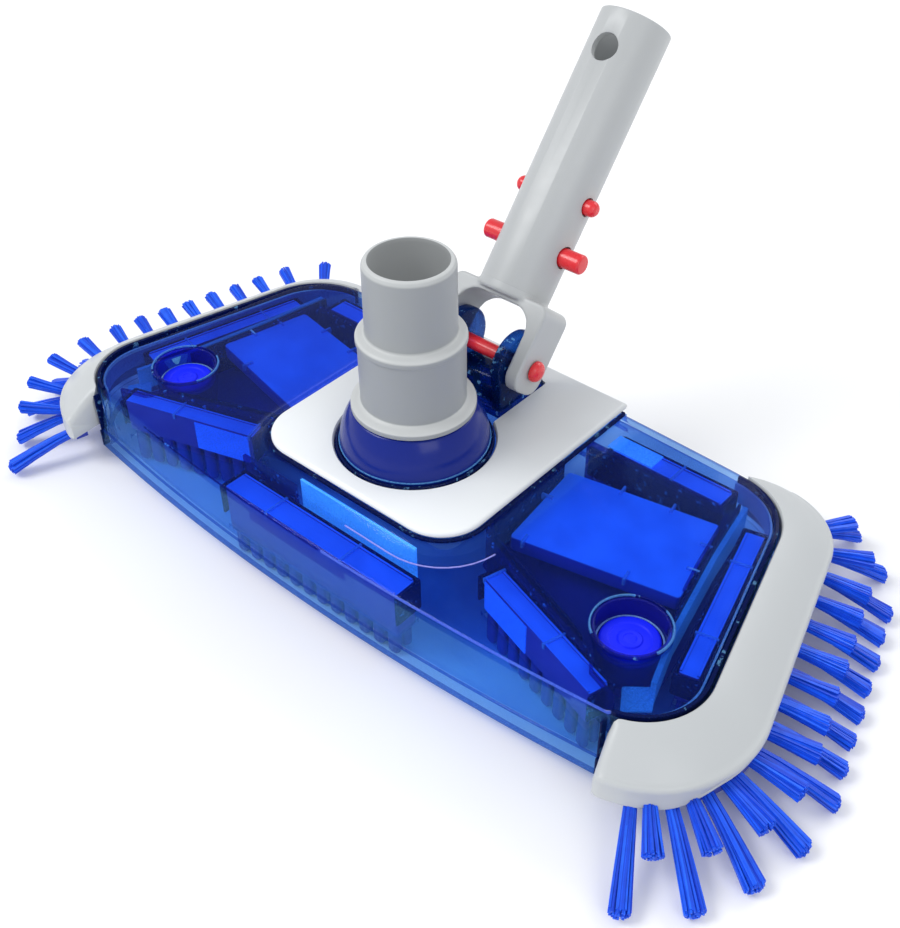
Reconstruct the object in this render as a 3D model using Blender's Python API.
"""Manual vacuum head for pools: a transparent weighted body that rides on brush
strips, with bristle rows round both ends, a swivelling hose connector and a
tilting snap-in pole handle.

The scene is in metres, the sizes below are in millimetres. +Z is up, +X to the
right, -Y the long curved front. Every object hangs from one empty whose local
origin is the hose axis on the floor that the brush strips touch; the empty is
moved forward so the scene origin lies under the middle of the whole assembly."""

import math
from collections import namedtuple
from itertools import accumulate

import bmesh
import bpy
from mathutils import Matrix, Vector

MM = 0.001
SIDES = ((1, "right"), (-1, "left"))
SMOOTH_ANGLE = math.radians(35)

# ---------------------------------------------------------------- shared sizes (mm)
CENTRE_Y = 21.80         # hose axis to the middle of the whole assembly
GAP = 0.35               # clearance between neighbouring pieces

SKIRT_Z = 6.0            # lower edge of the body wall
DECK_Z = 36.0            # top of the deck on the centre line
DECK_DROP = 4.0          # how much lower the deck is at DECK_HALF
DECK_HALF = 125.0
WALL = 2.3               # body wall thickness
SKIN = 2.0               # deck thickness

FRONT_HALF = 124.0       # half length of the front wall
FRONT_Y0, FRONT_BOW0 = -62.7, 0.00050     # wall foot: y = y0 + bow * x^2
FRONT_Y1, FRONT_BOW1 = -61.4, 0.00066     # wall head
FRONT_STEPS = 12

# Plan of one end: a slanting line x + slope * (y - at_y), rounded into a front and a back line.
EndLine = namedtuple("EndLine", "x slope at_y front_y back_y front_radius back_radius")
BODY_END = EndLine(x=129.6, slope=-0.25, at_y=24.0, front_y=-51.4, back_y=68.6,
                   front_radius=24.0, back_radius=28.0)
RIM_END = EndLine(x=150.6, slope=-0.266, at_y=18.0, front_y=-66.0, back_y=85.5,
                  front_radius=40.0, back_radius=30.0)
FRAME_X0 = 124.4         # where the front arm of a frame starts

TABS = (38.0, -6.0)      # y of the frame tabs that pass through the end walls
TAB_HALF, TAB_Z0, TAB_Z1, TAB_CLEAR = 5.0, 20.0, 24.0, 0.4

PLATE_HALF, PLATE_FRONT, PLATE_BACK, PLATE_R = 47.8, -36.8, 66.5, 17.0
PLATE_Z, PLATE_T = 41.6, 2.3
PLATE_UNDER = PLATE_Z - PLATE_T
BOSS_TOP = PLATE_UNDER - GAP
BOSS_FLARE = 9.0         # how far the foot of the boss spreads past the plate
PORT_R = 29.6            # round opening of the centre plate
SLOT_HALF, SLOT_END = 16.6, 57.0

SEAT_R, SEAT_TOP_R, SEAT_BORE = 27.6, 22.4, 17.2
SEAT_Z0, SEAT_Z1 = 30.0, 56.6

PIVOT_Y, PIVOT_Z = 41.2, 58.3
PIVOT = (0, PIVOT_Y, PIVOT_Z)
TILT = math.radians(39.8)
PIN_R = 3.0
PIN_BORE_R = PIN_R + 0.2
FORK_OUT = 21.8          # half width over the fork of the handle

WELL_X, WELL_Y, WELL_R = 109.2, -19.0, 12.7     # round screw wells of the deck
WEIGHT_Z0, WEIGHT_Z1 = 23.5, 29.8
BASE_Z0, BASE_Z1 = 10.4, 12.8


# ---------------------------------------------------------------- scene and materials
for old in list(bpy.data.objects):
    bpy.data.objects.remove(old, do_unlink=True)

COLLECTION = bpy.context.scene.collection


def place(obj, parent, at):
    COLLECTION.objects.link(obj)
    obj.parent = parent
    obj.location = tuple(c * MM for c in at)
    return obj


def empty(name, parent, at):
    return place(bpy.data.objects.new(name, None), parent, at)


ROOT = empty("vacuum_head", None, (0, -CENTRE_Y, 0))
# local +Z runs up the pole tube, local +Y to the back
HANDLE_AXIS = empty("handle_axis", ROOT, PIVOT)
HANDLE_AXIS.rotation_euler = (-TILT, 0, 0)


def make_material(name, rgb, roughness, alpha=1.0, metallic=0.0):
    mat = bpy.data.materials.new(name)
    mat.use_nodes = True
    shader = mat.node_tree.nodes["Principled BSDF"]
    shader.inputs["Base Color"].default_value = (*rgb, 1)
    shader.inputs["Roughness"].default_value = roughness
    shader.inputs["Metallic"].default_value = metallic
    shader.inputs["Alpha"].default_value = alpha
    mat.diffuse_color = (*rgb, alpha)
    return mat


CLEAR_BLUE = make_material("clear_blue", rgb=(0.03, 0.16, 0.75), roughness=0.12, alpha=0.35)
DEEP_BLUE = make_material("deep_blue", rgb=(0.01, 0.03, 0.30), roughness=0.15, alpha=0.6)
WHITE = make_material("white_plastic", rgb=(0.72, 0.74, 0.75), roughness=0.32)
GREY = make_material("grey_plastic", rgb=(0.42, 0.44, 0.46), roughness=0.36)
RED = make_material("red_plastic", rgb=(0.72, 0.03, 0.04), roughness=0.3)
BLUE = make_material("blue_plastic", rgb=(0.02, 0.07, 0.85), roughness=0.35)
BRISTLE = make_material("blue_bristle", rgb=(0.02, 0.09, 0.72), roughness=0.5)
STEEL = make_material("stainless", rgb=(0.6, 0.6, 0.62), roughness=0.3, metallic=1.0)
RUBBER = make_material("black_rubber", rgb=(0.02, 0.02, 0.02), roughness=0.7)


# ---------------------------------------------------------------- objects and booleans
def new_object(name, bm, mat=None, parent=ROOT, at=(0, 0, 0)):
    """Turns a bmesh into an object; one without a material is a hidden boolean helper."""
    bmesh.ops.remove_doubles(bm, verts=bm.verts, dist=1e-7)
    bmesh.ops.recalc_face_normals(bm, faces=bm.faces)
    mesh = bpy.data.meshes.new(name)
    bm.to_mesh(mesh)
    bm.free()
    obj = place(bpy.data.objects.new(name, mesh), parent, at)
    if mat is None:
        obj.hide_render = True
        obj.display_type = "WIRE"
    else:
        mesh.materials.append(mat)
        mesh.shade_smooth()
        mesh.set_sharp_from_angle(angle=SMOOTH_ANGLE)
    return obj


def boolean(target, helper, operation):
    mod = target.modifiers.new(operation.lower() + "_" + helper.name, "BOOLEAN")
    mod.operation = operation
    mod.object = helper
    mod.solver = "EXACT"


def combine(target, operation, name, bm, **placing):
    """Makes a helper, applies it to the target and returns it."""
    helper = new_object(name, bm, **placing)
    boolean(target, helper, operation)
    return helper


def cut(target, name, bm, **placing):
    return combine(target, "DIFFERENCE", name, bm, **placing)


def add(target, name, bm, **placing):
    return combine(target, "UNION", name, bm, **placing)


# ---------------------------------------------------------------- solids
def loft(sections):
    """A closed solid through rings of points, one ring after another."""
    bm = bmesh.new()
    rings = [[bm.verts.new(Vector(p) * MM) for p in ring] for ring in sections]
    for low, high in zip(rings, rings[1:]):
        n = len(low)
        for i in range(n):
            j = (i + 1) % n
            bm.faces.new((low[i], low[j], high[j], high[i]))
    bm.faces.new(list(reversed(rings[0])))
    bm.faces.new(rings[-1])
    return bm


def stack(*levels):
    """A solid through (outline, z) levels."""
    return loft([[(x, y, z) for x, y in outline] for outline, z in levels])


def prism(outline, start, end, axis="Z"):
    """Carries an outline along an axis; its pairs are the other two coordinates in order."""
    slot = "XYZ".index(axis)
    return loft([[(*pair[:slot], along, *pair[slot:]) for pair in outline]
                 for along in (start, end)])


def box(x0, x1, y0, y1, z0, z1):
    return prism([(x0, y0), (x1, y0), (x1, y1), (x0, y1)], z0, z1)


def turned(profile, steps, axis="Z"):
    """Turns a closed outline of (radius, place along the axis) points about Z or X."""
    bm = bmesh.new()
    rings = []
    for k in range(steps):
        a = 2 * math.pi * k / steps
        rings.append([bm.verts.new(Vector((r * math.cos(a), r * math.sin(a), along)) * MM)
                      for r, along in profile])
    n = len(profile)
    for ring, following in zip(rings, rings[1:] + rings[:1]):
        for i in range(n):
            j = (i + 1) % n
            on_axis = profile[i][0] < 1e-9 and profile[j][0] < 1e-9
            if not on_axis:
                bm.faces.new((ring[i], following[i], following[j], ring[j]))
    bmesh.ops.remove_doubles(bm, verts=bm.verts, dist=1e-7)
    bmesh.ops.dissolve_degenerate(bm, edges=bm.edges, dist=1e-8)
    if axis == "X":
        bmesh.ops.rotate(bm, verts=bm.verts, matrix=Matrix.Rotation(math.pi / 2, 3, "Y"))
    return bm


def tube(inner, outer, start, end, steps, axis="Z"):
    return turned([(inner, start), (outer, start), (outer, end), (inner, end)], steps, axis)


def cylinder(radius, start, end, steps, axis="Z"):
    return tube(0, radius, start, end, steps, axis)


# ---------------------------------------------------------------- outlines and paths
def corner(before, at, after, radius, steps):
    """Points of a fillet of this radius in the corner `at`."""
    tip = Vector(at)
    u = (Vector(before) - tip).normalized()
    v = (Vector(after) - tip).normalized()
    half = math.acos(u.dot(v)) / 2
    run = radius / math.tan(half)
    centre = tip + (u + v).normalized() * radius / math.sin(half)
    start, end = tip + u * run - centre, tip + v * run - centre
    sweep = start.angle_signed(end)
    points = []
    for k in range(steps + 1):
        t = -sweep * k / steps
        points.append((centre.x + start.x * math.cos(t) - start.y * math.sin(t),
                       centre.y + start.x * math.sin(t) + start.y * math.cos(t)))
    return points


def rounded(corners, steps):
    """Outline through (x, y, radius) corners."""
    points = []
    for i, (x, y, radius) in enumerate(corners):
        if radius <= 0:
            points.append((x, y))
        else:
            after = corners[(i + 1) % len(corners)]
            points += corner(corners[i - 1][:2], (x, y), after[:2], radius, steps)
    return points


def rounded_rectangle(half, y0, y1, radius, steps):
    return rounded([(half, y0, radius), (half, y1, radius),
                    (-half, y1, radius), (-half, y0, radius)], steps)


def mirrored(outline):
    return [(-x, y) for x, y in reversed(outline)]


def line_x(line, y, shift=0.0):
    """x of an end line at y, with the line moved outwards by shift."""
    return line.x + line.slope * (y - line.at_y) + shift * math.hypot(1, line.slope)


def clipped(points, x_from):
    """Drops the points left of x_from and starts the line exactly there."""
    k = next(i for i, p in enumerate(points) if p[0] > x_from + 0.3)
    (xa, ya), (xb, yb) = points[k - 1], points[k]
    return [(x_from, ya + (yb - ya) * (x_from - xa) / (xb - xa))] + points[k:]


def end_curve(line, shift, x_front, steps):
    """Right end, front to back, moved outwards by shift; it starts at x_front."""
    y_front, y_back = line.front_y - shift, line.back_y + shift
    front = (line_x(line, y_front, shift), y_front)
    back = (line_x(line, y_back, shift), y_back)
    points = clipped(corner((0, y_front), front, back, line.front_radius + shift, steps), x_front)
    return points + corner(front, back, (0, y_back), line.back_radius + shift, steps)


def front_y(x, t):
    foot = FRONT_Y0 + FRONT_BOW0 * x * x
    head = FRONT_Y1 + FRONT_BOW1 * x * x
    return foot * (1 - t) + head * t


def body_outline(t, inset=0.0):
    """Plan of the body at height fraction t (0 at the skirt, 1 at the deck)."""
    half = FRONT_HALF - inset
    front = []
    for k in range(FRONT_STEPS + 1):
        x = -half + 2 * half * k / FRONT_STEPS
        front.append((x, front_y(x, t) + inset))
    right = end_curve(BODY_END, -inset, half, 6)
    return front + right + mirrored(right)


def plate_outline(grow=0.0, back=PLATE_BACK):
    """Plan of the centre plate, widened by grow, with square back corners."""
    half, front, radius = PLATE_HALF + grow, PLATE_FRONT - grow, PLATE_R + grow
    return rounded([(half, front, radius), (half, back, 0),
                    (-half, back, 0), (-half, front, radius)], 6)


def path_lengths(path):
    return [0.0, *accumulate(math.dist(a, b) for a, b in zip(path, path[1:]))]


def locate(lengths, distance):
    """Stretch of a path that holds this distance, and the fraction along the stretch."""
    i = max(j for j, length in enumerate(lengths) if length <= distance + 1e-9)
    i = min(i, len(lengths) - 2)
    return i, (distance - lengths[i]) / (lengths[i + 1] - lengths[i])


def resampled(path, count):
    """The path as this many evenly spaced points."""
    lengths = path_lengths(path)
    points = []
    for k in range(count):
        i, t = locate(lengths, lengths[-1] * k / (count - 1))
        (xa, ya), (xb, yb) = path[i], path[i + 1]
        points.append((xa + t * (xb - xa), ya + t * (yb - ya)))
    return points


# ---------------------------------------------------------------- body cover
def dome_slab(drop):
    """A slab wider than the body, its top this far under the domed deck surface."""
    xs = [-160 + 20 * k for k in range(17)]
    top = [(x, DECK_Z - DECK_DROP * (x / DECK_HALF) ** 2 - drop) for x in xs]
    return prism([(-160, -20), (160, -20), *reversed(top)], -90, 100, "Y")


def body_cavity(cover):
    """Hollows the cover, leaving material round the screw wells."""
    cavity = cut(cover, "cut_cavity", stack(
        (body_outline(-0.1, WALL), -4),
        (body_outline(1, WALL), DECK_Z + 2)))
    combine(cavity, "INTERSECT", "cut_ceiling", dome_slab(SKIN))
    add(cavity, "cut_boss_inner", stack(
        (plate_outline(BOSS_FLARE - 1.5, 58), 22),
        (plate_outline(BOSS_FLARE - 3, 61), DECK_Z - 3.2),
        (plate_outline(0.5, 62.5), BOSS_TOP - 2.2)))
    for sign, tag in SIDES:
        cut(cavity, "keep_well_" + tag[0], cylinder(WELL_R + 1.6, 18.6, 60, 28),
            at=(sign * WELL_X, WELL_Y, 0))


def body_cover():
    cover = new_object("body_cover", stack(
        (body_outline(0), SKIRT_Z),
        (body_outline(0.27), SKIRT_Z + 8),
        (body_outline(1), DECK_Z + 2)), CLEAR_BLUE)
    combine(cover, "INTERSECT", "cut_deck", dome_slab(0))
    # flared boss that carries the centre plate
    add(cover, "cut_boss", stack(
        (plate_outline(BOSS_FLARE + 3, 60), 26),
        (plate_outline(BOSS_FLARE, 63.5), DECK_Z - 1.0),
        (plate_outline(4.0, 65.0), BOSS_TOP - 1.5),
        (plate_outline(2.2, 65.5), BOSS_TOP)))
    body_cavity(cover)
    well = [(0, 10), (2.5, 10), (2.5, 20.8), (WELL_R - 0.6, 20.8), (WELL_R, 45), (0, 45)]
    for sign, tag in SIDES:
        cut(cover, "cut_well_" + tag[0], turned(well, 28), at=(sign * WELL_X, WELL_Y, 0))
    cut(cover, "cut_port", cylinder(SEAT_R + 0.5, 20, 60, 40))
    half = TAB_HALF + TAB_CLEAR
    for sign, tag in SIDES:
        for i, y in enumerate(TABS):
            wall_x = line_x(BODY_END, y)
            ends = sorted((sign * (wall_x - 6), sign * (wall_x + 4)))
            cut(cover, f"cut_tab_{tag[0]}{i}",
                box(*ends, y - half, y + half, TAB_Z0 - TAB_CLEAR, TAB_Z1 + TAB_CLEAR))
    return cover


# ---------------------------------------------------------------- centre plate
def centre_plate():
    """Plate on the boss, with the hose port running into the bracket slot behind it."""
    plate = new_object("centre_plate", stack(
        (plate_outline(), PLATE_UNDER),
        (plate_outline(), PLATE_Z - 1.0),
        (plate_outline(-0.4, PLATE_BACK - 1.2), PLATE_Z - 0.3),
        (plate_outline(-1.2, PLATE_BACK - 3.0), PLATE_Z)), WHITE)
    cut(plate, "cut_plate_port", cylinder(PORT_R, 30, 60, 40))
    cut(plate, "cut_plate_slot", box(-SLOT_HALF, SLOT_HALF, 6, SLOT_END, 30, 60))


# ---------------------------------------------------------------- base plate
MOUTH_HALF_X, MOUTH_HALF_Y, MOUTH_R = 30.0, 17.0, 6
PILLARS = ((62, 0), (96, 8), (90, 34), (58, 24))     # x, y on the right side
PILLAR_HALF = 2
POST_R, POST_BORE, POST_TOP = 6.5, 2.0, 18.2
ROOTED_Z = BASE_Z1 - 1   # pillars and posts start inside the plate


def base_plate():
    base = new_object("base_plate", prism(body_outline(0.34, WALL + 1.0), BASE_Z0, BASE_Z1),
                      CLEAR_BLUE)
    mouth = rounded_rectangle(MOUTH_HALF_X, -MOUTH_HALF_Y, MOUTH_HALF_Y, MOUTH_R, 4)
    cut(base, "cut_mouth", prism(mouth, 0, 20))
    return base


def base_supports(base, sign, tag):
    """Pillars under a weight and the bored screw post under a well."""
    for i, (x, y) in enumerate(PILLARS):
        add(base, f"add_pillar_{tag}{i}",
            box(sign * x - PILLAR_HALF, sign * x + PILLAR_HALF, y - PILLAR_HALF, y + PILLAR_HALF,
                ROOTED_Z, WEIGHT_Z0 - GAP))
    at = (sign * WELL_X, WELL_Y, 0)
    add(base, "add_post_" + tag, tube(POST_BORE, POST_R, ROOTED_Z, POST_TOP, 20), at=at)
    cut(base, "cut_post_" + tag, cylinder(POST_BORE, 5, 25, 20), at=at)


# ---------------------------------------------------------------- brush strips
TOOTH = 3.6              # width of a bristle bar at its root
TOOTH_SPREAD = 0.2       # how far each flank leans out at the floor
BLOCK_Z = 14.4           # underside of the solid back
# name, start (x, y), end (x, y), width, top, teeth
FRONT_STRIP = ("brush_front", (-42.2, -51.6), (42.2, -51.6), 9.6, 30.6, 13)
SIDE_STRIPS = (          # right side; the left is mirrored
    ("brush_diagonal_", (58.6, -26.2), (114.5, -43.4), 7.6, 29.0, 9),
    ("brush_side_", (131.6, -20.0), (114.9, 49.0), 6.8, 27.4, 11),
    ("brush_rear_", (51.5, 56.5), (98.5, 56.5), 8.8, 29.4, 8),
)


def brush_strip(base, name, start, end, width, top, teeth):
    """A solid back with a comb of bristle bars to the floor, and its slot in the base."""
    run = math.dist(start, end)
    heading = math.atan2(end[1] - start[1], end[0] - start[0])
    pitch = run / teeth
    comb = [(-run / 2, top), (-run / 2, BLOCK_Z)]
    for k in range(teeth):
        x = -run / 2 + pitch * (k + 0.5)
        root, foot = TOOTH / 2, TOOTH / 2 + TOOTH_SPREAD
        comb += [(x - root, BLOCK_Z), (x - foot, 0.0), (x + foot, 0.0), (x + root, BLOCK_Z)]
    comb += [(run / 2, BLOCK_Z), (run / 2, top)]
    half = width / 2
    middle = ((start[0] + end[0]) / 2, (start[1] + end[1]) / 2, 0)
    strip = new_object(name, prism(comb, -half, half, "Y"), BLUE, at=middle)
    slot = cut(base, "cut_" + name,
               box(-run / 2 - 0.6, run / 2 + 0.6, -half - 0.5, half + 0.5, 5, 20), at=middle)
    for obj in (strip, slot):
        obj.rotation_euler = (0, 0, heading)


def brush_strips(base):
    brush_strip(base, *FRONT_STRIP)
    for sign, tag in SIDES:
        for name, (xa, ya), (xb, yb), *sizes in SIDE_STRIPS:
            brush_strip(base, name + tag, (sign * xa, ya), (sign * xb, yb), *sizes)


# ---------------------------------------------------------------- weights and cover screws
WEIGHT = ((51.8, -9.3), (112.8, 3.9), (104.2, 42.8), (46.8, 32.0))   # right plan corners
WEIGHT_R = 1.5
COVER_SCREW = (          # radius, z
    (0, 11.0), (1.2, 11.0), (1.6, 12.0), (1.6, 21.2), (4.2, 21.2), (4.2, 22.6),
    (3.2, 23.7), (0, 23.7))


def weight(sign, tag):
    outline = rounded([(x, y, WEIGHT_R) for x, y in WEIGHT], 2)
    if sign < 0:
        outline = mirrored(outline)
    new_object("weight_" + tag, prism(outline, WEIGHT_Z0, WEIGHT_Z1), BLUE)


def cover_screw(sign, tag):
    new_object("cover_screw_" + tag, turned(COVER_SCREW, 20), STEEL,
               at=(sign * WELL_X, WELL_Y, 0))


# ---------------------------------------------------------------- hose throat and connector
FLANGE_R, HOSE_LOW_R, HOSE_STEP_R, HOSE_TOP_R, HOSE_BORE = 22.5, 18.8, 19.6, 16.0, 13.6
FLANGE_Z0, FLANGE_Z1, STEP_Z, NECK_Z, HOSE_MOUTH_Z = 57.0, 60.2, 86.6, 89.2, 115.4
SEAL_RECESS_R = SEAT_BORE + 3.0
SEAL_RECESS_Z = SEAT_Z1 - 2.4


def throat():
    """Domed seat with a seal in the recess round the top of its bore."""
    new_object("throat_seat", turned([
        (SEAT_BORE, SEAT_Z0), (SEAT_R, SEAT_Z0), (SEAT_R, 43.0), (SEAT_R - 0.3, 46.0),
        (SEAT_R - 1.2, 49.2), (SEAT_R - 2.6, 52.4), (SEAT_R - 4.2, 55.0),
        (SEAT_TOP_R, SEAT_Z1 - 0.3), (SEAT_TOP_R - 1, SEAT_Z1), (SEAL_RECESS_R, SEAT_Z1),
        (SEAL_RECESS_R, SEAL_RECESS_Z), (SEAT_BORE, SEAL_RECESS_Z)], 40), DEEP_BLUE)
    new_object("throat_seal", tube(SEAT_BORE + 0.3, SEAT_BORE + 2.6,
                                   SEAT_Z1 - 2.1, SEAT_Z1 - 0.1, 32), RUBBER)


def hose_connector():
    """Stepped tube through the seat, and the ring round its lower end."""
    shank = SEAT_BORE - 0.5
    new_object("hose_connector", turned([
        (HOSE_BORE, 26.8), (shank, 26.8), (shank, FLANGE_Z0),
        (FLANGE_R - 0.6, FLANGE_Z0), (FLANGE_R, FLANGE_Z0 + 0.6),
        (FLANGE_R, FLANGE_Z1 - 0.8), (FLANGE_R - 0.8, FLANGE_Z1),
        (HOSE_LOW_R + 0.2, FLANGE_Z1), (HOSE_LOW_R, FLANGE_Z1 + 1),
        (HOSE_LOW_R, STEP_Z - 2.4), (HOSE_STEP_R, STEP_Z - 1.8), (HOSE_STEP_R, STEP_Z),
        (HOSE_STEP_R - 0.7, STEP_Z + 0.7), (HOSE_TOP_R + 0.1, NECK_Z),
        (HOSE_TOP_R, NECK_Z + 0.6), (HOSE_TOP_R, HOSE_MOUTH_Z - 0.6),
        (HOSE_TOP_R - 0.6, HOSE_MOUTH_Z), (HOSE_BORE + 0.5, HOSE_MOUTH_Z),
        (HOSE_BORE, HOSE_MOUTH_Z - 0.5)], 36), GREY)
    inner, outer = SEAT_BORE - 0.2, SEAT_BORE + 4.6
    new_object("connector_retainer", turned([
        (inner, 26.4), (outer, 26.4), (outer, 29.6), (SEAT_BORE + 0.4, 29.6),
        (inner, 29.6)], 32), GREY)


# ---------------------------------------------------------------- handle bracket
EAR_R, EAR_IN, EAR_OUT = 12.3, 10.8, 15.4
EAR_FOOT_FRONT, EAR_FOOT_BACK = 30.2, 55.5
BRACKET_FRONT = 29.5
WEB = ((33.0, PLATE_Z), (50.0, PLATE_Z), (47.0, 49.5), (36.5, 49.5))     # y, z
BRACKET_SCREW_X, BRACKET_SCREW_Y = 7.0, 43.2
BRACKET_SCREW = (        # radius, z
    (0, 34.6), (3.4, 34.6), (3.4, 36.4), (1.5, 36.4), (1.5, 45.2), (0.9, 46.0), (0, 46.0))


def ear_profile():
    """(y, z) profile of an ear, wide at its foot and round about the pivot."""
    head = []
    for k in range(13):
        a = math.radians(-24 + 228 * k / 12)
        head.append((PIVOT_Y + EAR_R * math.cos(a), PIVOT_Z + EAR_R * math.sin(a)))
    return [(EAR_FOOT_BACK, PLATE_Z), *head, (EAR_FOOT_FRONT, PLATE_Z)]


def handle_bracket(cover):
    """Foot in the plate slot, two ears joined by a web, and the screws from below."""
    foot = rounded_rectangle(SLOT_HALF - 0.5, BRACKET_FRONT, SLOT_END - 0.5, 2, 2)
    bracket = new_object("handle_bracket", prism(foot, PLATE_UNDER, PLATE_Z + 1.4), DEEP_BLUE)
    for sign, tag in SIDES:
        ends = sorted((sign * EAR_IN, sign * EAR_OUT))
        add(bracket, "add_ear_" + tag[0], prism(ear_profile(), *ends, "X"))
    add(bracket, "add_web", prism(WEB, -EAR_IN - 1, EAR_IN + 1, "X"))
    cut(bracket, "cut_bracket_bore", cylinder(PIN_BORE_R, -30, 30, 18, "X"), at=PIVOT)
    # trims everything that reaches forward towards the throat
    cut(bracket, "cut_bracket_clear", box(-40, 40, 0, 29.2, 30, 90))
    for sign, tag in SIDES:
        at = (sign * BRACKET_SCREW_X, BRACKET_SCREW_Y, 0)
        hole = cut(bracket, "cut_bracket_screw_" + tag, cylinder(1.9, 30, 46.4, 16), at=at)
        boolean(cover, hole, "DIFFERENCE")
        new_object("bracket_screw_" + tag, turned(BRACKET_SCREW, 16), STEEL, at=at)


# ---------------------------------------------------------------- pivot pin
def pivot_pin():
    """Pin with its head on the right and a clip in a groove at the left end."""
    shaft, groove = PIN_R - 0.15, 2.2
    left, right = -FORK_OUT, FORK_OUT
    new_object("pivot_pin", turned([
        (0, left - 3.0), (groove, left - 3.0), (shaft, left - 2.2), (shaft, left - 2.1),
        (groove, left - 2.1), (groove, left - 1.0), (shaft, left - 1.0),
        (shaft, right + 0.4), (PIN_R + 0.9, right + 0.4), (PIN_R + 0.9, right + 1.8),
        (PIN_R, right + 2.9), (1.4, right + 3.3), (0, right + 3.3)], 16, "X"), RED, at=PIVOT)
    new_object("pin_clip", tube(2.4, 5.0, left - 1.9, left - 1.15, 20, "X"), STEEL, at=PIVOT)


# ---------------------------------------------------------------- handle, in its tilted frame
TUBE_R, TUBE_BORE = 13.8, 11.3
TUBE_FOOT, TUBE_FLOOR, TUBE_LEN = 21.5, 29.0, 128.8   # all measured from the pivot
FORK_IN, FORK_W, FORK_FOOT, FORK_HEAD, FORK_ARCH = 16.4, 9.0, 9.6, 22.8, 19.2
CATCH_Z, CATCH_R, CATCH_X, CATCH_DOME = 61.6, 3.0, 18.0, 1.6       # upper studs
BUTTON_Z, BUTTON_R, BUTTON_X, BUTTON_CHAMFER = 41.7, 3.7, 22.2, 0.8    # lower studs
LEG_Z0, LEG_Z1, LEG_X = 33.0, 66.0, 9.0
LEG_HALF_T, LEG_HALF_W = 0.8, 4
BEND_Z = LEG_Z0 - 1.6
HOLE_Z, HOLE_R = 114.3, 5.2


def handle():
    """Pole tube on a fork that straddles the bracket."""
    body = new_object("handle", turned([
        (TUBE_BORE, TUBE_FLOOR), (TUBE_BORE, TUBE_LEN - 0.6), (TUBE_BORE + 0.5, TUBE_LEN),
        (TUBE_R - 0.6, TUBE_LEN), (TUBE_R, TUBE_LEN - 0.6), (TUBE_R, TUBE_FOOT),
        (0, TUBE_FOOT), (0, TUBE_FLOOR)], 36), GREY, HANDLE_AXIS)
    fork = rounded([         # x, z, radius
        (FORK_OUT, -FORK_FOOT, 0), (FORK_OUT, FORK_HEAD, 5.0),
        (-FORK_OUT, FORK_HEAD, 5.0), (-FORK_OUT, -FORK_FOOT, 0),
        (-FORK_IN, -FORK_FOOT, 0), (-FORK_IN, FORK_ARCH, 8.0),
        (FORK_IN, FORK_ARCH, 8.0), (FORK_IN, -FORK_FOOT, 0)], 4)
    yoke = add(body, "add_yoke", prism(fork, -FORK_W, FORK_W, "Y"), parent=HANDLE_AXIS)
    feet = rounded([         # y, z, radius
        (-FORK_W, -FORK_FOOT, 6.0), (FORK_W, -FORK_FOOT, 6.0),
        (FORK_W, 40, 0), (-FORK_W, 40, 0)], 4)
    combine(yoke, "INTERSECT", "cut_yoke_feet", prism(feet, -40, 40, "X"), parent=HANDLE_AXIS)
    cut(body, "cut_fork_bore", cylinder(PIN_BORE_R, -40, 40, 18, "X"), parent=HANDLE_AXIS)
    lanyard = cut(body, "cut_lanyard", cylinder(HOLE_R, 0, 30, 28, "X"),
                  parent=HANDLE_AXIS, at=(0, 0, HOLE_Z))
    lanyard.rotation_euler = (0, 0, -math.pi / 2)     # through the front wall only
    for name, z, radius in (("cut_catches", CATCH_Z, CATCH_R + 0.8),
                            ("cut_buttons", BUTTON_Z, BUTTON_R + 1.0)):
        cut(body, name, cylinder(radius, -30, 30, 18, "X"), parent=HANDLE_AXIS, at=(0, 0, z))


def clip_bend():
    """Shallow bowed strip across the tube, just below the legs."""
    angles = [math.pi * k / 8 for k in range(9)]
    lower = [((LEG_X + LEG_HALF_T) * math.cos(a), BEND_Z - 1.0 * math.sin(a)) for a in angles]
    upper = [((LEG_X - LEG_HALF_T) * math.cos(a), BEND_Z + 0.4 - 0.2 * math.sin(a))
             for a in reversed(angles)]
    new_object("clip_bend", prism(lower + upper, -LEG_HALF_W, LEG_HALF_W, "Y"), RED, HANDLE_AXIS)


def clip_leg(sign, tag):
    """Upright strip with a domed catch and a chamfered button pointing outwards."""
    axis = empty("clip_axis_" + tag, HANDLE_AXIS, (sign * LEG_X, 0, LEG_Z0))
    leg = new_object("clip_leg_" + tag, box(-LEG_HALF_T, LEG_HALF_T, -LEG_HALF_W, LEG_HALF_W,
                                            0, LEG_Z1 - LEG_Z0), RED, axis)
    catch_end, button_end = CATCH_X - LEG_X, BUTTON_X - LEG_X
    dome = []
    for k in range(4):
        a = math.pi / 2 * k / 4
        dome.append((CATCH_R * math.cos(a), catch_end - CATCH_DOME + CATCH_DOME * math.sin(a)))
    chamfer = [(BUTTON_R, button_end - BUTTON_CHAMFER), (BUTTON_R - BUTTON_CHAMFER, button_end)]
    for what, z, radius, tip, end in (("catch", CATCH_Z, CATCH_R, dome, catch_end),
                                      ("button", BUTTON_Z, BUTTON_R, chamfer, button_end)):
        stud = turned([(0, 0.2), (radius, 0.2), *tip, (0, end)], 16, "X")
        if sign < 0:
            bmesh.ops.rotate(stud, verts=stud.verts, matrix=Matrix.Rotation(math.pi, 3, "Z"))
        add(leg, f"add_{what}_{tag}", stud, parent=axis, at=(0, 0, z - LEG_Z0))


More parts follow.
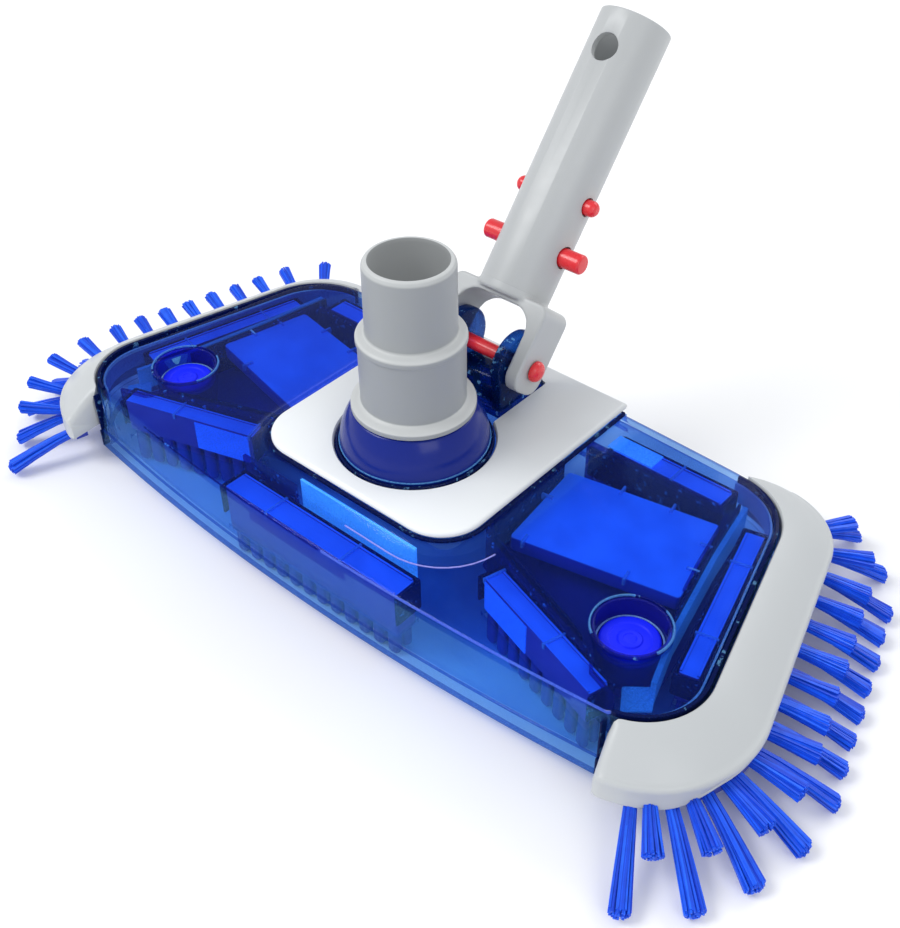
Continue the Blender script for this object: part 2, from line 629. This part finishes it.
# ---------------------------------------------------------------- end frames
FRAME_TOP_IN, FRAME_TOP_OUT, FRAME_FOOT = 32.4, 20.6, 15.4
FRAME_RISE = FRAME_TOP_IN - FRAME_TOP_OUT
FRAME_STATIONS = 26
FRAME_SECTION = (        # fraction from the inner to the outer line, z
    (0, FRAME_FOOT), (0, FRAME_TOP_IN - 1.0), (0.05, FRAME_TOP_IN),
    (0.45, FRAME_TOP_OUT + FRAME_RISE * 0.66), (0.80, FRAME_TOP_OUT + FRAME_RISE * 0.27),
    (0.95, FRAME_TOP_OUT), (1.0, FRAME_TOP_OUT - 1.6), (1.0, FRAME_FOOT))


def side_frame(sign, tag):
    """Sloping rim round one end, front tip to back tip, with tabs into the body."""
    inner = resampled(end_curve(BODY_END, GAP, FRAME_X0, 7), FRAME_STATIONS)
    outer = resampled(end_curve(RIM_END, 0, FRAME_X0 + 4, 9), FRAME_STATIONS)
    bm = loft([[(sign * (xi + (xo - xi) * t), yi + (yo - yi) * t, z) for t, z in FRAME_SECTION]
               for (xi, yi), (xo, yo) in zip(inner, outer)])
    bmesh.ops.triangulate(bm, faces=[f for f in bm.faces if len(f.verts) > 4])
    frame = new_object("side_frame_" + tag, bm, WHITE)
    for i, y in enumerate(TABS):
        wall_x = line_x(BODY_END, y)
        ends = sorted((sign * (wall_x - 3.1), sign * (wall_x + 3)))
        add(frame, f"add_tab_{tag}{i}",
            box(*ends, y - TAB_HALF, y + TAB_HALF, TAB_Z0, TAB_Z1))


# ---------------------------------------------------------------- bristle rows
CARRIER_W = 5.0          # width of the bar that carries the tufts
ROW_INSET = 2.2          # tuft roots inside the rim line
ROW_OVERHANG = 4.5       # carrier beyond the first and the last tuft
ROOT_HALF, TIP_HALF, ROW_THICK = 2.0, 3.1, 2.2
ROW_START, ROW_END = 137.8, 122.5         # x of the first and the last tuft root
# reach: at the front, along the side, at the back; droop: tips below the roots
LONG_ROW = dict(count=14, reach=(32.5, 27.5, 22.0), z=10.0, droop=8.0,
                start_x=ROW_START, end_x=ROW_END)
SHORT_ROW = dict(count=13, reach=(18.0, 17.5, 17.5), z=12.8, droop=2.0,
                 start_x=ROW_START + 5, end_x=ROW_END + 1)


def path_frame(path, lengths, distance):
    """Point, heading and outward direction; the heading turns smoothly between stretches."""
    i, t = locate(lengths, distance)
    headings = [(Vector(b) - Vector(a)).normalized() for a, b in zip(path, path[1:])]
    if t < 0.5:
        heading = headings[max(i - 1, 0)].lerp(headings[i], 0.5 + t)
    else:
        heading = headings[i].lerp(headings[min(i + 1, len(headings) - 1)], t - 0.5)
    heading = heading.normalized()
    return Vector(path[i]).lerp(Vector(path[i + 1]), t), heading, Vector((heading.y, -heading.x))


def crossings(path, lengths, x):
    """Distances along the path at which it crosses this x."""
    found = []
    for i, ((xa, _), (xb, _)) in enumerate(zip(path, path[1:])):
        if (xa - x) * (xb - x) <= 0:
            found.append(lengths[i] + (lengths[i + 1] - lengths[i]) * (x - xa) / (xb - xa))
    return found


def tuft_reach(reach, fraction):
    """Tuft length: it changes over the first 30 % and the last 25 % of the row."""
    front, middle, back = reach
    if fraction < 0.3:
        return front + (middle - front) * fraction / 0.3
    return middle + (back - middle) * max(0, (fraction - 0.75) / 0.25)


def bristle_row(name, sign, count, reach, z, droop, start_x, end_x):
    """A carrier bar along the rim with its tufts as widening bars at even steps."""
    path = end_curve(RIM_END, -ROW_INSET, FRAME_X0 + 5, 12)
    lengths = path_lengths(path)
    first = crossings(path, lengths, start_x)[0]
    last = crossings(path, lengths, end_x)[-1]
    bm = bmesh.new()

    def vert(point, low=0.0):
        return bm.verts.new((sign * point.x * MM, point.y * MM, (z - low) * MM))

    point, heading, outward = path_frame(path, lengths, first - ROW_OVERHANG)
    previous = (vert(point - outward * CARRIER_W), vert(point))
    for k in range(count):
        fraction = k / (count - 1)
        point, heading, outward = path_frame(path, lengths, first + (last - first) * fraction)
        before, after = point - heading * ROOT_HALF, point + heading * ROOT_HALF
        before_in, before_out = vert(before - outward * CARRIER_W), vert(before)
        after_out, after_in = vert(after), vert(after - outward * CARRIER_W)
        tip = point + outward * tuft_reach(reach, fraction)
        tip_after = vert(tip + heading * TIP_HALF, droop)
        tip_before = vert(tip - heading * TIP_HALF, droop)
        bm.faces.new((*previous, before_out, before_in))
        bm.faces.new((before_in, before_out, after_out, after_in))
        bm.faces.new((before_out, tip_before, tip_after, after_out))
        previous = (after_in, after_out)
    point, heading, outward = path_frame(path, lengths, last + ROW_OVERHANG)
    bm.faces.new((*previous, vert(point), vert(point - outward * CARRIER_W)))
    lifted = bmesh.ops.extrude_face_region(bm, geom=list(bm.faces))["geom"]
    lifted_verts = [g for g in lifted if isinstance(g, bmesh.types.BMVert)]
    bmesh.ops.translate(bm, verts=lifted_verts, vec=(0, 0, ROW_THICK * MM))
    new_object(name, bm, BRISTLE)


# ---------------------------------------------------------------- assembly
def build():
    cover = body_cover()
    centre_plate()
    base = base_plate()
    brush_strips(base)
    throat()
    hose_connector()
    handle_bracket(cover)
    pivot_pin()
    handle()
    clip_bend()
    for sign, tag in SIDES:
        weight(sign, tag)
        base_supports(base, sign, tag)
        cover_screw(sign, tag)
        clip_leg(sign, tag)
        side_frame(sign, tag)
        bristle_row("bristles_long_" + tag, sign, **LONG_ROW)
        bristle_row("bristles_short_" + tag, sign, **SHORT_ROW)


build()
